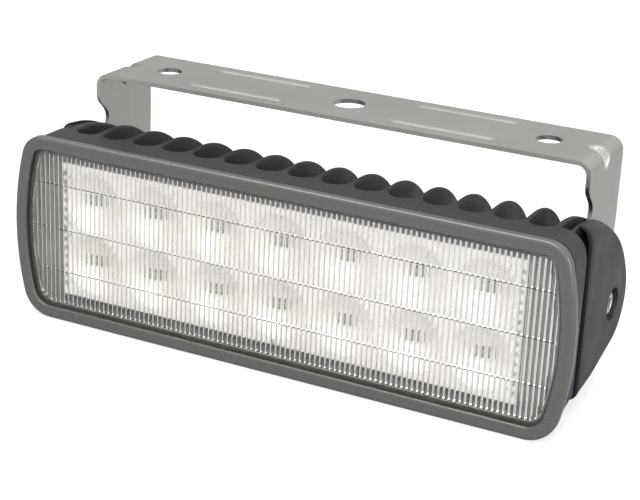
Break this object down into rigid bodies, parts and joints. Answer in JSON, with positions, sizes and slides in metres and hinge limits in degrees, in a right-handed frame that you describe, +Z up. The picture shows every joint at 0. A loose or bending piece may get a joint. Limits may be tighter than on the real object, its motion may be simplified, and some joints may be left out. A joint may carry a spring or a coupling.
{
  "type": "LED flood work lamp on a tilting U bracket",
  "caption": "Wide rectangular LED flood lamp with a fluted clear lens and finned black housing, tilting in a stainless steel U bracket.",
  "frame": {"origin": "centre of the bracket's middle mounting hole, on the top face of its plate", "axes": "+X along the lamp's length to its right end, +Y to its back (light leaves along -Y), +Z up through the mounting plate"},
  "size_m": [0.28, 0.0994, 0.1108],
  "materials": {
    "bracket_steel": "satin",
    "black_housing": "matte",
    "grey_rim": "satin",
    "clear_lens": "gloss",
    "bright_reflector": "gloss",
    "board_white": "satin",
    "led_body": "satin",
    "led_dome": "gloss",
    "connector_plastic": "satin",
    "screw_steel": "satin",
    "pad_rubber": "matte",
    "circuit_board": "satin",
    "coil_ferrite": "matte",
    "capacitor_sleeve": "gloss",
    "chip_plastic": "matte",
    "brass": "satin",
    "terminal_green": "satin",
    "lead_insulation": "satin",
    "black_rubber": "matte",
    "gland_plastic": "matte",
    "pivot_steel": "satin",
    "washer_nylon": "satin"
  },
  "bodies": {
    "bracket": {"bracket": "bracket_steel"},
    "lamp": {"housing": "black_housing", "rim": "grey_rim", "lens": "clear_lens", "lens_gasket": "black_rubber", "reflector_tray": "bright_reflector", "led_board": "board_white", "led_packages": "led_body", "led_domes": "led_dome", "board_connector": "connector_plastic", "board_screws": "screw_steel", "thermal_pad": "pad_rubber", "driver_board": "circuit_board", "driver_coils": "coil_ferrite", "driver_capacitors": "capacitor_sleeve", "driver_chips": "chip_plastic", "driver_standoffs": "brass", "driver_screws": "screw_steel", "terminal_block": "terminal_green", "inner_leads": "lead_insulation", "rear_cover": "black_housing", "rear_gasket": "black_rubber", "rear_screws": "screw_steel", "gland_body": "gland_plastic", "gland_nut": "gland_plastic", "gland_seal": "black_rubber", "vent_plug": "gland_plastic", "right_cover": "black_housing", "left_cover": "black_housing", "pivot_bolts": "pivot_steel", "pivot_sleeves": "pivot_steel", "pivot_inserts": "brass", "inner_washers": "washer_nylon", "outer_washers": "washer_nylon"}
  },
  "joints": [
    {"name": "tilt", "type": "hinge", "parent": "bracket", "child": "lamp", "pos_m": [0, 0, -0.0705], "axis": [1, 0, 0], "range_deg": [-22, 200]}
  ]
}
